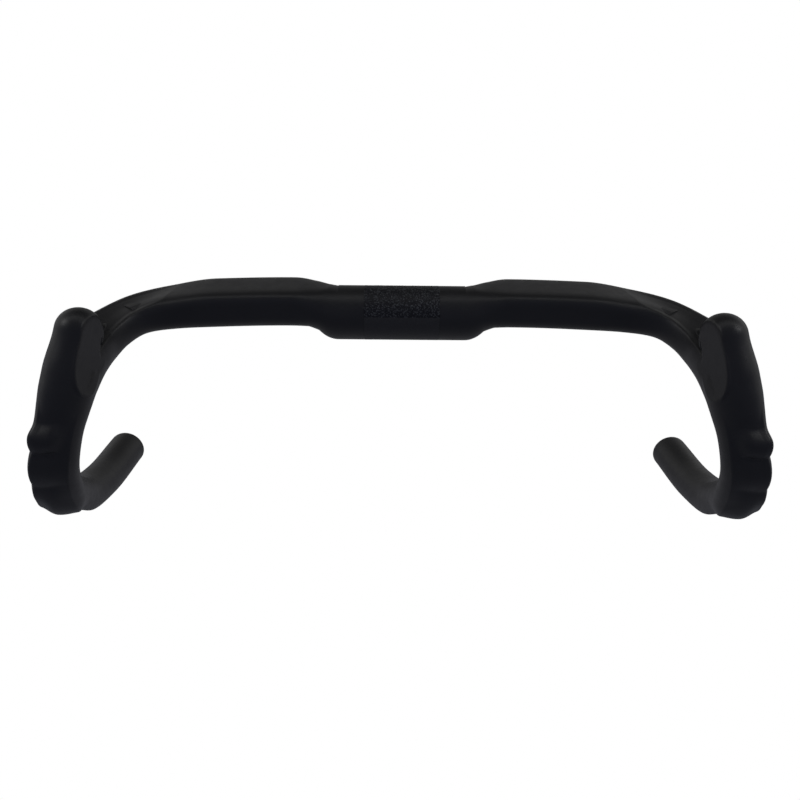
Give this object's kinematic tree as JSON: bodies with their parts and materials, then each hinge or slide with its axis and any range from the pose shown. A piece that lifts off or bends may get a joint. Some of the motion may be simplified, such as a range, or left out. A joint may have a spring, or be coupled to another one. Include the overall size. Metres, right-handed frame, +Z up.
{
  "type": "drop handlebar",
  "caption": "Bare carbon drop handlebar for a road bicycle: round stem clamp, flat wing tops, palm ramps and finger-grooved drops.",
  "frame": {"origin": "middle of the stem clamp barrel, on its axis", "axes": "+X along the clamp barrel to the rider's left, -Y forward, where the hooks reach to, +Z up"},
  "size_m": [0.4186, 0.1441, 0.148],
  "materials": {
    "carbon_shell": "satin black lacquered carbon laminate",
    "friction_band": "coarse gritty anti-slip coating",
    "bare_laminate": "unpainted carbon laminate",
    "plug_plastic": "moulded black plastic"
  },
  "bodies": {
    "root": {"centre_section": "carbon_shell", "clamp_friction_band": "friction_band", "clamp_core_sleeve": "bare_laminate", "left_drop": "carbon_shell", "left_splice_sleeve": "bare_laminate", "left_end_plug": "plug_plastic", "right_drop": "carbon_shell", "right_splice_sleeve": "bare_laminate", "right_end_plug": "plug_plastic"}
  },
  "joints": []
}
